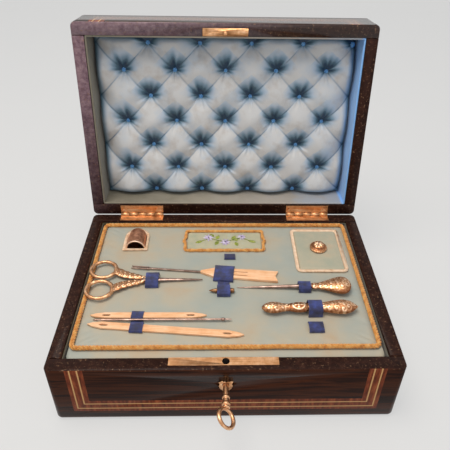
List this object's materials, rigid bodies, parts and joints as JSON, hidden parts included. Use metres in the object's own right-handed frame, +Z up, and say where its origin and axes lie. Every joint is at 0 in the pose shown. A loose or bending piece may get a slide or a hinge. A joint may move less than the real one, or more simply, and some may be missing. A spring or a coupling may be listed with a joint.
{
  "type": "sewing box",
  "caption": "Hinged wooden sewing box with a buttoned silk lid, a lock with its key, and a padded lift-out tray of scissors, thimble, needle case and other sewing tools.",
  "frame": {"origin": "middle of the flat underside of the base", "axes": "+Z up, the front with the lock faces -Y, +X to the right seen from the front, and the open lid leans back on the +Y side"},
  "size_m": [0.28, 0.2994, 0.2606],
  "materials": {
    "veneered_wood": "glossy dark veneer",
    "raw_wood": "matt",
    "brass": "worn polish",
    "gilt": "soft chased gilding",
    "steel": "polished",
    "blue_silk": "silk sheen",
    "sage_silk": "silk sheen",
    "gold_thread": "twisted gold cord",
    "ribbon": "satin ribbon",
    "bone": "polished bone",
    "ivory_paper": "matt paper",
    "card": "matt card"
  },
  "bodies": {
    "case": {"front_wall": "veneered_wood", "back_wall": "veneered_wood", "left_wall": "veneered_wood", "right_wall": "veneered_wood", "bottom_board": "raw_wood", "floor_lining": "card", "base_lining": "sage_silk", "tray_bearer_left": "raw_wood", "tray_bearer_right": "raw_wood", "lock_case": "brass", "lock_plate": "brass", "escutcheon": "brass", "hinge_base_leaf_left": "brass", "hinge_base_leaf_right": "brass", "hinge_pin_left": "steel", "hinge_pin_right": "steel"},
    "lid": {"lid_front_wall": "veneered_wood", "lid_back_wall": "veneered_wood", "lid_left_wall": "veneered_wood", "lid_right_wall": "veneered_wood", "lid_top_board": "veneered_wood", "lid_lining": "blue_silk", "lid_cushion": "blue_silk", "strike_plate": "brass", "hinge_lid_leaf_left": "brass", "hinge_lid_leaf_right": "brass"},
    "key": {"key": "brass"},
    "bolt": {"lock_bolt": "brass"},
    "tray": {"tray_board": "card", "tray_frame": "sage_silk", "tray_deck": "card", "tray_pad": "sage_silk", "gold_cord": "gold_thread", "panel_braid": "gold_thread", "embroidered_panel": "sage_silk", "compartment_well": "ivory_paper", "thimble_well": "ivory_paper", "scissors_loop": "ribbon", "middle_loops": "ribbon", "stiletto_loop": "ribbon", "needle_case_loop": "ribbon", "netting_loops": "ribbon", "back_tab": "ribbon", "front_tab": "ribbon", "scissors_lower_half": "gilt", "scissors_screw": "steel"},
    "scissors_half": {"scissors_upper_half": "gilt"},
    "compartment_cover": {"compartment_cover": "sage_silk", "cover_knob": "gilt"},
    "thimble": {"thimble": "gilt"},
    "netting_fork": {"fork_handle": "bone", "fork_rod": "steel"},
    "stiletto": {"stiletto_handle": "gilt", "stiletto_point": "steel"},
    "needle_case": {"needle_case_body": "gilt"},
    "needle_case_cap": {"needle_case_cap": "gilt"},
    "netting_needle_back": {"netting_needle_back": "bone"},
    "netting_needle_front": {"netting_needle_front": "bone"},
    "crochet_hook": {"crochet_hook": "steel"},
    "bodkin": {"bodkin": "brass"}
  },
  "joints": [
    {"name": "lid_hinge", "type": "hinge", "parent": "case", "child": "lid", "pos_m": [0, 0.099, 0.06415], "axis": [-1, 0, 0], "range_deg": [-97, 0]},
    {"name": "tray_lift", "type": "slide", "parent": "case", "child": "tray", "axis": [0, 0, 1], "range_m": [0, 0.06]},
    {"name": "key_turn", "type": "hinge", "parent": "case", "child": "key", "pos_m": [-0.0008, -0.099, 0.046], "axis": [0, -1, 0], "range_deg": [-47, 133]},
    {"name": "bolt_slide", "type": "slide", "parent": "case", "child": "bolt", "axis": [-1, 0, 0], "range_m": [-0.00105, 0.00296]},
    {"name": "scissors_pivot", "type": "hinge", "parent": "tray", "child": "scissors_half", "pos_m": [-0.0655, -0.0019, 0.0653], "axis": [-0.0221, -0.0004, -0.9998], "range_deg": [0, 12]},
    {"name": "cover_lift", "type": "slide", "parent": "tray", "child": "compartment_cover", "axis": [0, 0, 1], "range_m": [0, 0.04]},
    {"name": "thimble_lift", "type": "slide", "parent": "tray", "child": "thimble", "axis": [0, 0, 1], "range_m": [0, 0.035]},
    {"name": "fork_slide", "type": "slide", "parent": "tray", "child": "netting_fork", "axis": [0.9949, -0.1011, 0], "range_m": [0, 0.012]},
    {"name": "stiletto_slide", "type": "slide", "parent": "tray", "child": "stiletto", "axis": [0.9987, -0.0192, 0.0467], "range_m": [0, 0.007]},
    {"name": "needle_case_slide", "type": "slide", "parent": "tray", "child": "needle_case", "axis": [1, 0.0087, 0], "range_m": [0, 0.006]},
    {"name": "needle_cap_pull", "type": "slide", "parent": "needle_case", "child": "needle_case_cap", "axis": [-1, -0.0087, 0], "range_m": [0, 0.025]},
    {"name": "back_netting_needle_slide", "type": "slide", "parent": "tray", "child": "netting_needle_back", "axis": [1, -0.005, 0], "range_m": [0, 0.018]},
    {"name": "front_netting_needle_slide", "type": "slide", "parent": "tray", "child": "netting_needle_front", "axis": [0.9956, -0.0938, 0], "range_m": [0, 0.015]},
    {"name": "crochet_hook_slide", "type": "slide", "parent": "tray", "child": "crochet_hook", "axis": [1, 0, 0], "range_m": [0, 0.01]},
    {"name": "bodkin_slide", "type": "slide", "parent": "tray", "child": "bodkin", "axis": [1, 0, 0], "range_m": [0, 0.006]}
  ],
  "couplings": [
    {"joint": "bolt_slide", "follows": "key_turn", "m_per_rad": 0.0012732}
  ]
}
